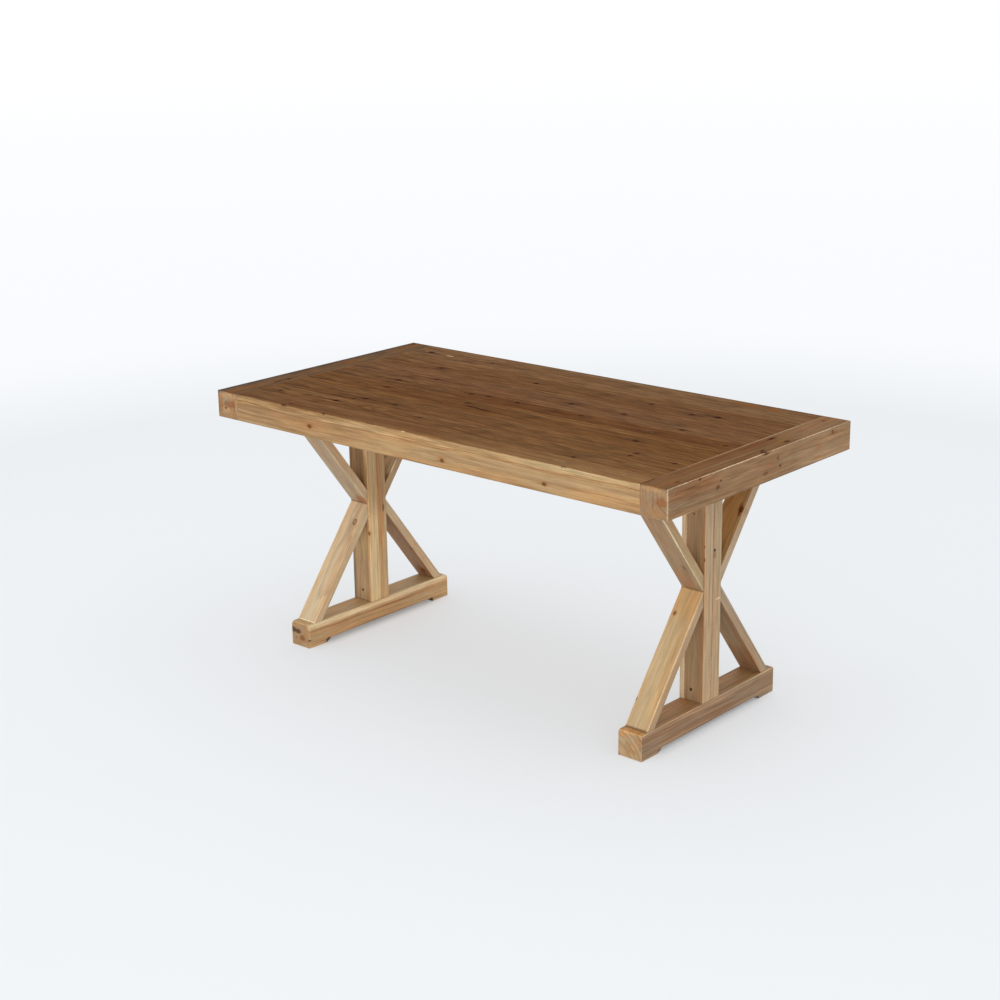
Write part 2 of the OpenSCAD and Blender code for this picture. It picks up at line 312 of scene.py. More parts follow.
def make_ring_group():
    """Growth rings round the pith, at a point in timber coordinates in millimetres. Late is how far the wood
    there is latewood, and Tone is a random number for each ring."""
    inputs = dict(Coord="Vector", Pith="Vector", Slope="Vector", Spacing="Float", Wander="Float")
    group, t, given = new_group("rings", inputs, dict(Late="Float", Tone="Float"))
    coord = given["Coord"]
    # The pith leans and wanders along the timber, which draws the pointed arches on its faces
    bend = t.wander(coord * (0.0028, 0.004, 0.004), 2.0, 0.45) * given["Wander"]
    lean = given["Slope"] * t.parts(coord)[0]
    radius = t.calc("LENGTH", (coord - given["Pith"] + (bend + lean)) * (0, 1, 1))
    ripple = t.noise(coord * (0.012, 0.09, 0.09)) * 3.0 - 1.5
    uneven = t.noise(t.join(radius * 0.045, 0.0, 0.0), rough=0.6)
    turn = (radius + ripple) / given["Spacing"] + uneven * 5.0
    part = t.calc("FRACT", turn)
    late = t.step(part, 0.35, 0.88) * t.step(part, 0.9, 1.0, 1.0, 0.0)
    tone = t.add("ShaderNodeTexWhiteNoise", "Value", {"W": t.calc("FLOOR", turn)}, noise_dimensions="1D")
    t.node("NodeGroupOutput", {"Late": late, "Tone": tone})
    return group


KNOT_GROUP = make_knot_group()
RING_GROUP = make_ring_group()


def srgb(text):
    """A colour written as six hexadecimal digits, as linear numbers."""
    values = [int(text[i:i + 2], 16) / 255 for i in (0, 2, 4)]
    return [v / 12.92 if v <= 0.04045 else ((v + 0.055) / 1.055) ** 2.4 for v in values]


def pair(tone, contrast):
    """The colours of early and late wood round a middle tone."""
    return [[v * (1 + gain * contrast) for v, gain in zip(srgb(tone), gains)] + [1]
            for gains in ((0.2, 0.24, 0.28), (-0.36, -0.48, -0.56))]


# Materials

def new_material(name):
    """A material, its empty tree and the place on the object."""
    material = bpy.data.materials.new(name)
    material.use_nodes = True
    t = Tree(material.node_tree)
    return material, t, t.add("ShaderNodeTexCoord", "Object")


def finish_material(t, colour, roughness, height, strength, distance, fixed):
    """Ends a tree in a shader with relief. fixed are values of further sockets."""
    relief = t.add("ShaderNodeBump", 0, {"Strength": strength, "Distance": distance * MM, "Height": height})
    shader = t.add("ShaderNodeBsdfPrincipled", 0, {"Base Color": colour, "Roughness": roughness,
                                                   "Normal": relief, **fixed})
    t.node("ShaderNodeOutputMaterial", {"Surface": shader})


def wood(name, place, size, tone, contrast=1.0, pith=(0, 120, -40), slope=(0, 0, 0), spacing=3.4, wander=16.0,
         streak=0.6, knots=(), marks=(), wear=0.5, wear_width=2.0, wear_gain=1.4, top=None, end_tone=0.85,
         rough=0.52, grain=1.0, hue=0.6, faces=(), calm=None, gloss=0.2, tails=0.4, outline=0.6):
    """Softwood cut from a log, drawn in timber coordinates. pith is the log's middle line and slope how it
    leans. A knot is a point, radius, axis and darkness, and a mark a point, three half sizes and a tint, with
    points of the row frame in millimetres; some marks are painted light or shade. faces are (direction, tint)
    of whole faces, which paint light and shade: a face lighter or darker as light falls on it. calm is the
    direction of a face with evener grain and the share of it that is left. top is the tone of the upper face,
    where it is stained darker."""
    material, t, here = new_material(name)
    rel = (here - place.to_translation()) * (1 / MM)
    axes = [place.col[i].to_3d() for i in range(3)]
    along, across, deep = (t.calc("DOT_PRODUCT", rel, axis) for axis in axes)
    coord = t.join(along, across, deep)
    normal = t.add("ShaderNodeNewGeometry", "Normal")
    on_end = t.step(abs(t.calc("DOT_PRODUCT", normal, axes[0])), 0.6, 0.8)

    def grained(fine_along, fine_across, detail, rough):
        return t.noise(coord * (fine_along, fine_across, fine_across), 1.0, detail, rough)

    def on_face(direction):
        return t.step(t.calc("DOT_PRODUCT", normal, direction), 0.5, 0.75)

    # A small wavering keeps every outline in the grain from being drawn with a ruler
    shaken = coord + t.wander(coord * 0.16, 3.0, 0.6) * 5.0
    warped, reach, dark, tail = coord, FAR_OFF, 0.0, 0.0
    for *point, radius, axis, darkness in knots:
        centre = to_timber(place, point)
        values = {"Coord": shaken, "Centre": centre, "Squash": KNOT_SQUASH[axis], "Radius": radius}
        made = t.wires(t.node("ShaderNodeGroup", values, node_tree=KNOT_GROUP))
        warped = warped + made["Offset"]
        reach = t.calc("MINIMUM", made["Reach"], reach)
        dark = t.calc("MAXIMUM", t.step(made["Reach"], 0.75, 1.15, 1.0, 0.0) * darkness, dark)
        tail = t.calc("MAXIMUM", t.step(made["Tail"], 0.3, 1.3, 1.0, 0.0) * darkness, tail)

    values = {"Coord": warped, "Pith": pith, "Slope": slope, "Spacing": spacing, "Wander": wander}
    rings = t.wires(t.node("ShaderNodeGroup", values, node_tree=RING_GROUP))
    latewood = rings["Late"] * (rings["Tone"] * rings["Tone"] * 0.9 + 0.25)
    fibre = grained(0.014, 0.45, 4.0, 0.65)
    mottle = grained(0.012, 0.1, 3.0, 0.6)
    streaks = grained(0.0045, 0.13, 3.0, 0.55)
    blotch = grained(0.0022, 0.014, 2.0, 0.5)
    flecks = grained(0.05, 0.8, 2.0, 0.6)
    patchy = grained(0.02, 0.07, 3.0, 0.6)

    early, late = pair(tone, contrast)
    if top:
        on_top = t.step(mottle * STAIN_EDGE + t.parts(here)[2], STAIN_FROM, STAIN_FULL)
        early, late = (t.mix(on_top, *tones) for tones in zip((early, late), pair(top, contrast)))
    colour = t.mix(latewood * (on_end * 0.25 + 0.75), early, late)
    colour = t.mix(t.step(streaks, 0.42, 0.74) * (on_end * (-0.7 * streak) + streak), colour, late)
    shade = (fibre - 0.5) * (0.7 * grain) + (blotch - 0.5) * 0.5 + (mottle - 0.5) * (0.6 * grain)
    if calm:
        shade = shade * (on_face(calm[0]) * (calm[1] - 1) + 1.0)
    shade = (shade * (on_end * -0.55 + 1.0) + 1.0) * (on_end * (end_tone - 1) + 1.0)
    colour = colour * t.calc("MAXIMUM", shade, 0.35)
    warm, cool = ([1 + share * hue for share in shares] + [1]
                  for shares in ((0.1, -0.05, -0.18), (-0.06, 0.02, 0.1)))
    colour = colour * t.mix(t.step(grained(0.003, 0.03, 2.0, 0.5), 0.36, 0.64), warm, cool)
    # Painted light and shade: whole faces made lighter or darker as light falls on them
    for direction, tint in faces:
        colour = t.tint(on_face(direction), colour, tint)
    colour = t.tint(t.step(flecks, 0.62, 0.78) * 0.4, colour, 0.6)

    relief = latewood * 0.35 + fibre * 0.5
    if knots:
        dark_most = max(knot[-1] for knot in knots)
        eye = t.calc("FRACT", reach * 2.6 + fibre * 0.5)
        colour = t.tint(t.step(reach, 0.8, 2.2, 0.7, 0.0) * dark_most, colour, KNOT_HALO)
        colour = t.tint(tail * t.step(fibre, 0.36, 0.56, 0.0, tails), colour, KNOT_TAIL)
        core = t.mix(t.step(eye, 0.3, 0.9), colour * KNOT_LIGHT, colour * KNOT_DARK)
        colour = t.mix(dark, colour, core)
        rim = t.step(reach, 0.78, 0.98) * t.step(reach, 1.02, 1.3, 1.0, 0.0) * min(1, outline * dark_most)
        colour = t.tint(rim, colour, KNOT_RIM)
        relief = relief - rim

    for mark in marks:
        shares = (shaken - to_timber(place, mark[:-6])) * [1 / v for v in mark[-6:-3]]
        colour = t.tint(t.step(t.calc("LENGTH", shares), *MARK_FADE, 1.0, 0.0), colour, mark[-3:])

    # Of a point's depths below the three pairs of faces, the middle one is how far off the nearest arris is
    depths = [t.calc("SUBTRACT", whole / 2, abs(v)) for whole, v in zip(size, (along, across, deep))]
    low = t.calc("MINIMUM", depths[1], depths[2])
    high = t.calc("MAXIMUM", depths[1], depths[2])
    arris = t.calc("MAXIMUM", low, t.calc("MINIMUM", high, depths[0]))
    rubbed = t.step(arris, 0.0, patchy * (2 * wear_width) + 0.2, 1.0, 0.0)
    colour = t.tint(rubbed * t.step(patchy, 0.35, 0.62, 0.3 * wear, wear), colour, wear_gain)
    roughness = fibre * 0.22 + (rough - 0.11)
    finish_material(t, colour, roughness, relief, 0.35, 0.35, {"Specular IOR Level": gloss})
    return material


def zinc(name, dark, light):
    material, t, here = new_material(name)
    cloud = t.step(t.noise(here, 260.0, 3.0, 0.6), 0.35, 0.7)
    scratch = t.noise(here * (900, 900, 90), rough=0.6)
    colour = t.mix(cloud, dark, light)
    finish_material(t, colour, scratch * 0.25 + 0.28, scratch, 0.2, 0.05, {"Metallic": 1.0})
    return material


def floor_material():
    """Pale studio paper. Away from the table it fades into an even pale ground."""
    material, t, here = new_material("studio_floor")
    cloudy = [FLOOR_CLOUD * v for v in FLOOR_COLOUR]
    paper = t.add("ShaderNodeBsdfDiffuse", 0, {"Color": t.mix(t.noise(here, 1.4), cloudy, FLOOR_COLOUR)})
    distance = t.calc("LENGTH", here)
    far_colour = t.mix(t.step(distance, FLOOR_FAR, FLOOR_WHITE), FAR_COLOUR, WHITE)
    glow = t.add("ShaderNodeEmission", 0, {"Color": far_colour})
    x, y, _ = t.parts(here)
    shaded = (t.step(abs(abs(x) - BASE_X), *BASE_SHADE_X, 1.0, 0.0)
              * t.step(abs(y), *BASE_SHADE_Y, 1.0, 0.0))
    lift = shaded * (-BASE_SHADE * FLOOR_LIFT) + FLOOR_LIFT
    share = t.calc("MAXIMUM", t.step(distance, FLOOR_NEAR, FLOOR_FAR), lift)
    seen = t.add("ShaderNodeLightPath", "Is Camera Ray")
    both = t.add("ShaderNodeMixShader", 0, {0: share * seen, 1: paper, 2: glow})
    t.node("ShaderNodeOutputMaterial", {"Surface": both})
    return material


# Studio

def add_floor():
    mesh = new_mesh("studio_floor", lambda bm: bmesh.ops.create_circle(bm, cap_ends=True, segments=96,
                                                                       radius=FLOOR_RADIUS))
    mesh.materials.append(floor_material())
    add_object("studio_floor", mesh)


def add_softbox(name, at, target, size, watts, colour):
    data = bpy.data.lights.new(name, "AREA")
    data.shape = "RECTANGLE"
    data.size, data.size_y = size
    data.energy = watts
    data.color = colour
    aim = (Vector(target) - Vector(at)).to_track_quat("-Z", "Y")
    add_object(name, data).matrix_world = Matrix.Translation(at) @ aim.to_matrix().to_4x4()


def set_world():
    world = bpy.data.worlds.new("studio")
    world.use_nodes = True
    t = Tree(world.node_tree)
    path = t.wires(t.node("ShaderNodeLightPath"))
    seen = t.calc("MAXIMUM", path["Is Glossy Ray"], path["Is Transmission Ray"])
    seen = t.calc("MAXIMUM", path["Is Camera Ray"], seen)
    height = t.parts(t.add("ShaderNodeTexCoord", "Generated"))[2]
    strength = t.step(height, 0.0, 0.8, AMBIENT_LOW, AMBIENT_HIGH)
    soft = t.add("ShaderNodeBackground", 0, {"Color": AMBIENT_COLOUR, "Strength": strength})
    white = t.add("ShaderNodeBackground", 0, {"Color": WHITE, "Strength": 1.0})
    both = t.add("ShaderNodeMixShader", 0, {0: seen, 1: soft, 2: white})
    t.node("ShaderNodeOutputWorld", {"Surface": both})
    bpy.context.scene.world = world


# Timbers

def frame_at(origin, along, across):
    """The matrix from timber coordinates (along the grain, across, deep) to the row frame."""
    a = Vector(along).normalized()
    b = Vector(across).normalized()
    turn = Matrix((a, b, a.cross(b))).transposed()
    return Matrix.Translation(origin) @ turn.to_4x4()


def to_timber(place, point):
    """A point of the row frame in timber coordinates, both in millimetres. One without z is on the top."""
    x, y, *z = point
    return place.inverted() @ (Vector((x, y, *(z or [TOP_Z / MM]))) * MM) / MM


def lay(node, grain):
    """A node's middle, and its place and size as a timber whose grain runs along the axis of that number."""
    low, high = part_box(node)
    middle = (low + high) / 2
    order = (grain, (grain + 1) % 3, (grain + 2) % 3)
    axes = Matrix.Identity(3)
    size = Vector([(high - low)[i] / MM for i in order])
    return middle, frame_at(middle, axes[order[0]], axes[order[1]]), size


def new_mesh(name, *makers):
    """A mesh of what the makers add."""
    bm = bmesh.new()
    for make in makers:
        make(bm)
    mesh = bpy.data.meshes.new(name)
    bm.to_mesh(mesh)
    bm.free()
    return mesh


def rounded_ring(low, high, radii, flats):
    """Points round a rectangle with rounded corners. The corners go round from the one at low, and flats
    says how many stretches the sides across and the sides deep are cut into."""
    corners = ((low.x + radii[0], low.y + radii[0], 180), (high.x - radii[1], low.y + radii[1], 270),
               (high.x - radii[2], high.y - radii[2], 0), (low.x + radii[3], high.y - radii[3], 90))
    rounds = []
    for (x, y, start), r in zip(corners, radii):
        angles = [math.radians(start + 90 * i / ARC_STEPS) for i in range(ARC_STEPS + 1)]
        rounds.append([Vector((x + r * math.cos(v), y + r * math.sin(v))) for v in angles])
    points = []
    for k, arc in enumerate(rounds):
        n = flats[k % 2]
        following = rounds[(k + 1) % 4][0]
        points += arc + [arc[-1].lerp(following, i / n) for i in range(1, n)]
    return points


class Timber:
    """A long piece of wood, lofted through rounded rectangles across its grain, in millimetres.
    place puts its middle and its axes, size is its length, width and thickness. edges are the radii of its
    four long edges, from the low corner round. ends is one radius, or those at each end towards low and high
    across, then low and high deep. shape moves a section's corners and cuts are planes that end it askew."""

    def __init__(self, place, size, edges, ends, seed, chips=(), stops=(), shape=None, cuts=(None, None),
                 tongue=None):
        self.place, self.half, self.edges, self.seed = place, [v / 2 for v in size], edges, seed
        self.ends = ends if isinstance(ends, tuple) else ((ends,) * 4,) * 2
        self.chips, self.stops, self.shape, self.cuts, self.tongue = chips, stops, shape, cuts, tongue

    def waver(self, along, channel):
        """A slow number from 0 to 1 that changes along the timber."""
        return 0.5 + 0.5 * noise.noise((along * 0.011, channel * 7.3, self.seed * 3.1 + 0.5))

    def edge_radius(self, k, along):
        r = self.edges[k] * (0.75 + 0.5 * self.waver(along * 3, 10 + k))
        for at, corner, length, depth in self.chips:
            gone = (along - at) / (length / 2)
            if corner == k and abs(gone) < 1:
                r += depth * (1 - gone * gone) * (0.6 + 0.8 * self.waver(along * 25, 20))
        return r

    def section(self, along, gone):
        """The ring at a place along the timber, gone millimetres from its two ends."""
        low = Vector((-self.half[1], -self.half[2]))
        high = Vector((self.half[1], self.half[2]))
        if self.shape:
            self.shape(along, low, high)
        inset = [WOBBLE * self.waver(along, k) for k in range(4)]
        for far, radii in zip(gone, self.ends):
            for k, r in enumerate(radii):
                if far < r:
                    inset[k] += r - math.sqrt(r * r - (r - far) ** 2)
        low += Vector((inset[0], inset[2]))
        high -= Vector((inset[1], inset[3]))
        most = 0.45 * min(high.x - low.x, high.y - low.y)
        radii = [min(self.edge_radius(k, along), most) for k in range(4)]
        return rounded_ring(low, high, radii, self.flats)

    def end_place(self, side, x, y):
        """How far along an end lies, at a point of the section."""
        plane = self.cuts[0 if side < 0 else 1]
        return side * self.half[0] if plane is None else plane[0] + plane[1] * x + plane[2] * y

    def rings(self):
        whole = 2 * self.half[0]
        self.flats = [max(2, round(2 * h / FLAT_STEP)) for h in (self.half[1], self.half[2])]
        near_end = []
        for radii in self.ends:
            r = max(radii)
            near_end.append([r * (1 - math.cos(math.pi / 2 * i / END_STEPS)) for i in range(END_STEPS + 1)])
        count = max(2, round(whole / LENGTH_STEP))
        marks = [whole * i / count for i in range(1, count)] + [v + self.half[0] for v in self.stops]
        for at, _, length, _ in self.chips:
            n = max(6, round(length / 2))
            marks += [at + self.half[0] - length / 2 + length * i / n for i in range(n + 1)]
        first, last = near_end[0][-1], whole - near_end[1][-1]
        middle = []
        for v in sorted(m for m in marks if first + 0.6 < m < last - 0.6):
            if not middle or v - middle[-1] > 0.5:
                middle.append(v)
        stations = near_end[0] + middle + [whole - v for v in reversed(near_end[1])]
        made = []
        for v in stations:
            ring = self.section(v - self.half[0], (v, whole - v))
            share = v / whole
            points = []
            for x, y in ring:
                start, stop = self.end_place(-1, x, y), self.end_place(1, x, y)
                points.append((start + (stop - start) * share, x, y))
            made.append(points)
        if self.tongue:
            length, low, high = self.tongue
            ring = rounded_ring(low, high, [SEAM_R] * 4, self.flats)
            for side, put in ((-1, lambda r: made.insert(0, r)), (1, made.append)):
                for out in (0.0, length):
                    put([(side * (self.half[0] + out), x, y) for x, y in ring])
        return made

    def loft(self, bm):
        rings = [[bm.verts.new(self.place @ (Vector(p) * MM)) for p in ring] for ring in self.rings()]
        n = len(rings[0])
        for one, two in zip(rings, rings[1:]):
            for i in range(n):
                bm.faces.new((one[i], one[(i + 1) % n], two[(i + 1) % n], two[i]))
        bm.faces.new(list(reversed(rings[0])))
        bm.faces.new(rings[-1])
        bmesh.ops.recalc_face_normals(bm, faces=bm.faces)


def rod(bm, start, end, radius):
    """Adds a closed cylinder between two points in the row frame, in metres."""
    start, end = Vector(start), Vector(end)
    turn = (end - start).to_track_quat("Z", "Y").to_matrix().to_4x4()
    bmesh.ops.create_cone(bm, cap_ends=True, segments=ROD_SIDES, radius1=radius, radius2=radius,
                          depth=(end - start).length, matrix=Matrix.Translation((start + end) / 2) @ turn)


def slab(bm, low, high):
    """Adds a closed box between two corners, in metres."""
    low, high = Vector(low), Vector(high)
    for v in bmesh.ops.create_cube(bm, size=1)["verts"]:
        v.co = Vector([(low[i] + high[i]) / 2 + v.co[i] * (high[i] - low[i]) for i in range(3)])


def cut_away(piece, *makers):
    """Takes shapes out of a piece. Each maker adds closed shapes that don't cross each other."""
    for make in makers:
        mesh = new_mesh("cutter", make)
        cutter = add_object("cutter", mesh)
        boolean = piece.modifiers.new("cut", "BOOLEAN")
        boolean.operation = "DIFFERENCE"
        boolean.solver = "EXACT"
        boolean.object = cutter
        bpy.context.view_layer.update()
        shown = piece.evaluated_get(bpy.context.evaluated_depsgraph_get())
        result = bpy.data.meshes.new_from_object(shown)
        piece.modifiers.clear()
        old = piece.data
        piece.data = result
        result.name = piece.name
        bpy.data.meshes.remove(old)
        bpy.data.objects.remove(cutter)
        bpy.data.meshes.remove(mesh)


def holes_for(*nodes):
    """A maker of the room that CAD fasteners take."""
    def make(bm):
        for node in nodes:
            bm.from_mesh(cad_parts[node].data)
        bmesh.ops.remove_doubles(bm, verts=bm.verts, dist=1e-6)
        bmesh.ops.recalc_face_normals(bm, faces=bm.faces)
    return make


def add_piece(name, node, slot, timber, material, *makers):
    piece = add_object(name, new_mesh(name, timber.loft))
    cut_away(piece, *makers)
    mesh = piece.data
    mesh.materials.clear()
    mesh.materials.append(material)
    mesh.shade_smooth()
    mesh.set_sharp_from_angle(angle=math.radians(SHARP_ANGLE))
    piece.modifiers.new("weighted_normals", "WEIGHTED_NORMAL").keep_sharp = True
    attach(piece, "root")
    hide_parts(node)


# The top

# In all looks a knot is (x, y, z, radius, axis, darkness) and a mark is (x, y, z, half sizes along, across
# and deep, tint), in millimetres. On the top z is left out. The planks go from front to back, and their
# knots have no axis
PLANK_LOOK = dict(tone="A9835A", contrast=1.2, grain=3.2, hue=0.35, tails=1.0, wear=0.85, wear_width=6,
                  wear_gain=1.32, **OILED)
PLANKS = (
    dict(top="7A5634", tone="AE8B62", grain=1.8, wear_width=2.4, wear_gain=1.5, pith=(0, -140, -60),
         spacing=2.8, knots=((-510, -385, 4, 0.6),),
         marks=((680, -372, 460, 70, 9, 1.14, 1.2, 1.25), (-680, -372, 460, 70, 9, 0.83, 0.79, 0.78),
         (-58, -404, 8, 2.5, 3.5, 1.63, 1.9, 2.53), (-520, -403, 14, 3.5, 9, 0.37, 0.32, 0.3),
         (-360, -403, 11, 3, 7, 0.41, 0.37, 0.33), (484, -403, 12, 3, 7, 0.41, 0.37, 0.33),
         (480, -405, 766, 300, 4, 9, 1.05, 1.11, 1.14), (-480, -405, 766, 260, 4, 9, 0.95, 0.91, 0.88),
         (-90, -366, 190, 28, 5, 0.86, 0.78, 0.74), (210, -391, 170, 9, 5, 1.11, 1.16, 1.18))),
    dict(top="704D2C", pith=(0, 12, -95), spacing=3.6, wander=30, knots=((-438, -282, 6, 0.95),
         (-120, -275, 4, 0.7), (-650, -298, 4.5, 0.7), (450, -322, 4, 0.6)),
         marks=((120, -319, 560, 16, 5, 0.9, 0.87, 0.86), (-60, -259, 210, 12, 5, 1.16, 1.23, 1.27),
         (530, -273, 170, 11, 5, 1.11, 1.15, 1.18))),
    dict(top="6E4A29", pith=(0, 150, -30), spacing=2.6, knots=((-388, -217, 5.5, 0.8), (-415, -235, 4, 0.7),
         (-272, -215, 4.5, 0.8), (552, -200, 5, 0.7), (552, -225, 4.5, 0.7), (680, -215, 4.5, 0.7)),
         marks=((-465, -200, 300, 70, 5, 0.92, 0.93, 0.94), (180, -174, 220, 12, 5, 1.13, 1.21, 1.26))),
    dict(top="6B4624", pith=(0, -170, -20), spacing=3.0, knots=((-440, -77, 5, 0.8), (-128, -77, 5, 0.8),
         (480, -108, 5, 0.8)),
         marks=((-88, -101, 30, 5, 4, 0.28, 0.22, 0.19), (-45, -107, 32, 5, 4, 0.24, 0.19, 0.17),
         (-470, -137, 290, 12, 5, 1.25, 1.36, 1.45), (-110, -113, 180, 17, 5, 0.86, 0.78, 0.71),
         (-440, -66, 270, 20, 5, 0.88, 0.85, 0.82), (540, -108, 190, 20, 5, 0.91, 0.86, 0.82),
         (340, -61, 440, 11, 5, 1.24, 1.36, 1.49))),
    dict(top="684222", pith=(0, 60, -90), spacing=3.2, knots=((-475, 5, 6, 0.8), (-190, 8, 5, 0.8),
         (-132, 17, 5, 0.75), (-20, 10, 5, 0.8), (208, 8, 4.5, 0.8), (685, -5, 4.5, 0.6)),
         marks=((150, -6, 52, 5, 5, 0.66, 0.51, 0.46), (-465, -9, 300, 60, 5, 1.03, 1.18, 1.4),
         (330, -46, 560, 6, 5, 1.27, 1.38, 1.5), (60, -24, 330, 18, 5, 0.89, 0.82, 0.77),
         (530, -22, 210, 19, 5, 0.82, 0.72, 0.64))),
    dict(top="6F4C2F", pith=(0, -150, -50), spacing=2.8, knots=((-390, 77, 5, 0.8), (105, 93, 5, 0.8),
         (288, 92, 6, 0.55), (508, 54, 5, 0.8)),
         marks=((530, 80, 24, 4, 5, 1.28, 1.35, 1.42), (-652, 118, 40, 9, 5, 1.14, 0.99, 0.83),
         (370, 146, 400, 9, 5, 1.12, 1.17, 1.2), (330, 86, 430, 15, 5, 0.91, 0.88, 0.86))),
    dict(top="6E4B2C", pith=(0, 130, -70), spacing=3.4, knots=((-480, 195, 5.5, 0.8), (-128, 217, 5.5, 0.85),
         (280, 225, 5, 0.8), (435, 197, 5, 0.8), (507, 217, 6, 0.9)),
         marks=((465, 219, 300, 90, 5, 0.95, 0.93, 0.93), (480, 219, 60, 3, 5, 0.73, 0.6, 0.54),
         (507, 217, 13, 9, 5, 0.7, 0.6, 0.54), (190, 192, 220, 30, 5, 0.91, 0.86, 0.82),
         (530, 203, 180, 13, 5, 0.91, 0.86, 0.82), (-470, 212, 250, 9, 5, 1.11, 1.17, 1.22),
         (0, 278, 1100, 10, 5, 1.18, 1.28, 1.36))),
    dict(top="745335", pith=(0, -90, -110), spacing=3.6, wander=24, knots=((-653, 335, 6, 0.9),
         (-400, 335, 4, 0.8)),
         marks=((-673, 337, 12, 5, 4, 1.98, 2.19, 2.54), (-655, 335, 16, 9, 4, 0.76, 0.66, 0.61),
         (-572, 330, 17, 4.5, 4, 3.47, 4.42, 5.75), (500, 373, 44, 14, 5, 1.22, 1.0, 0.71),
         (574, 378, 30, 12, 5, 1.25, 1.02, 0.66), (90, 388, 620, 14, 5, 1.09, 1.13, 1.16))),
)


def add_planks():
    whole = 2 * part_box("side_rail_front")[1].x / MM
    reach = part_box("breadboard_end_left")[1].y - GROOVE_STOP
    for i, look in enumerate(PLANKS):
        node = f"plank_{i + 1}"
        middle, place, size = lay(node, 0)
        size.x = whole
        edges = [SEAM_R] * 4
        chips = ()
        if i == 0:
            edges[3] = OUTER_R
            chips = [(x, 3, length, depth) for x, length, depth in FRONT_CHIPS]
        if i == len(PLANKS) - 1:
            edges[2] = OUTER_R
        low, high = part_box(node)
        tongue = (TONGUE_L / MM, Vector((max(low.y, -reach) - middle.y, -TONGUE_T / 2)) / MM,
                  Vector((min(high.y, reach) - middle.y, TONGUE_T / 2)) / MM)
        timber = Timber(place, size, edges, SEAM_R, seed=i, chips=chips, tongue=tongue)
        knots = [(x, y, 1.15 * radius, "deep", 1.1 * dark) for x, y, radius, dark in look["knots"]]
        material = wood(f"stained_{node}", place, size, **{**PLANK_LOOK, **look, "knots": knots})
        add_piece(f"top_{node}", node, "stained_pine", timber, material, holes_for("batten_screws"),
                  insert_holes)


def insert_holes(bm):
    for name in SIDE_NAMES.values():
        low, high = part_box(f"head_rail_{name}")
        x = (low.x + high.x) / 2
        for y in BOLT_Y:
            for at in (y, -y):
                rod(bm, (x, at, high.z - MM), (x, at, high.z + INSERT_HOLE_L), INSERT_R)


